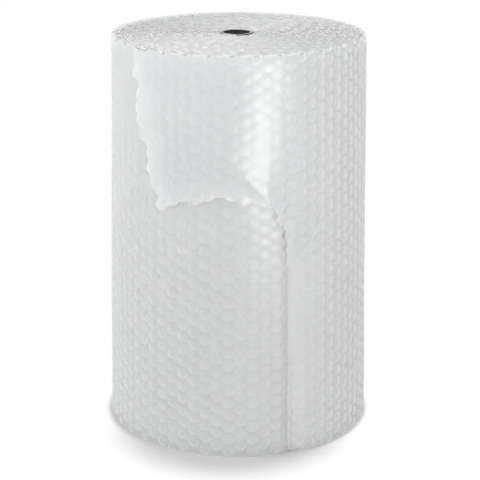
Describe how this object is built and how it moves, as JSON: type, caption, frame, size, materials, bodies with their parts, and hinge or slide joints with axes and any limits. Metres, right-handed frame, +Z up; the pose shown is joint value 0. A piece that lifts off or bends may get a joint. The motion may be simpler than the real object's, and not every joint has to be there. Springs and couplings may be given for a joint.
{
  "type": "bubble wrap roll",
  "caption": "Tall roll of clear bubble cushioning film wound on a paper tube, standing on end, with a loose torn flap at the outer end of the film.",
  "frame": {"origin": "centre of the paper tube's lower end, on the floor", "axes": "+Z up along the roll's axis; the front, with the torn flap, faces -Y; +X to the right seen from the front"},
  "size_m": [0.5043, 0.4978, 0.75],
  "materials": {
    "film": "clear soft polyethylene film, milky where many turns lie behind it",
    "tube": "spirally wound dark grey paperboard"
  },
  "bodies": {
    "root": {"core_tube": "tube", "bubble_wrap_web": "film"}
  },
  "joints": []
}
